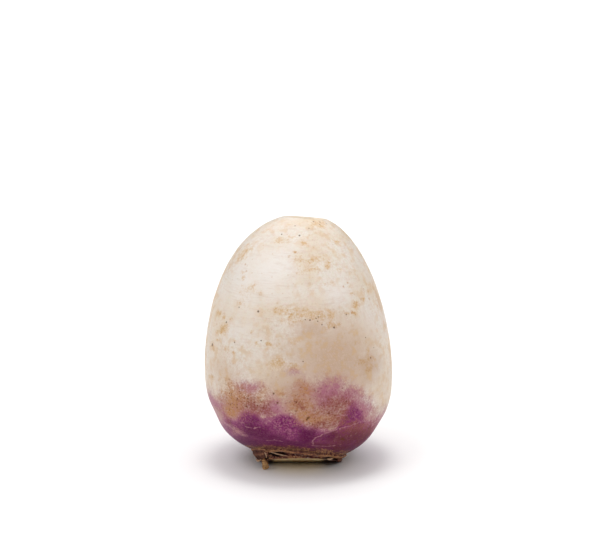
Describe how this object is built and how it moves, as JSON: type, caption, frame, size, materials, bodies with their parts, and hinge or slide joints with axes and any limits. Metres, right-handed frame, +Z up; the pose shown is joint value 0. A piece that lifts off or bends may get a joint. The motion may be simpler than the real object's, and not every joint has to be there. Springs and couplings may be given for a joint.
{
  "type": "turnip",
  "caption": "Egg-shaped purple-top turnip, leaves and root tip cut off, standing upside down on its cut crown: white skin above, purple skin and a corky leaf-scar neck below.",
  "frame": {"origin": "middle of the bounding box at the level of the flat cut that it rests on", "axes": "+Z up from the resting cut to the trimmed root tip, -Y towards the side where the crown's knife cut rises, +X to the right of someone facing that side"},
  "size_m": [0.0612, 0.0618, 0.0805],
  "materials": {
    "skin": "smooth, slightly waxy root skin: ivory with tan flecks above, mottled purple round the crown, pale cut flesh",
    "dried_leaf": "dry, matt, brown, ridged",
    "stalk": "dry, matt, tan, fibrous",
    "fibre": "dry, matt, pale straw"
  },
  "bodies": {
    "root": {"turnip_root": "skin", "leaf_stub_left": "dried_leaf", "leaf_scale_front": "dried_leaf", "leaf_stub_right": "dried_leaf", "leaf_stub_back_1": "dried_leaf", "leaf_stub_back_2": "dried_leaf", "leaf_stub_back_3": "dried_leaf", "stalk_chip": "stalk", "leaf_curl": "fibre", "fibre_fork": "fibre", "fibre_long": "fibre", "leaf_crumb": "fibre"}
  },
  "joints": []
}
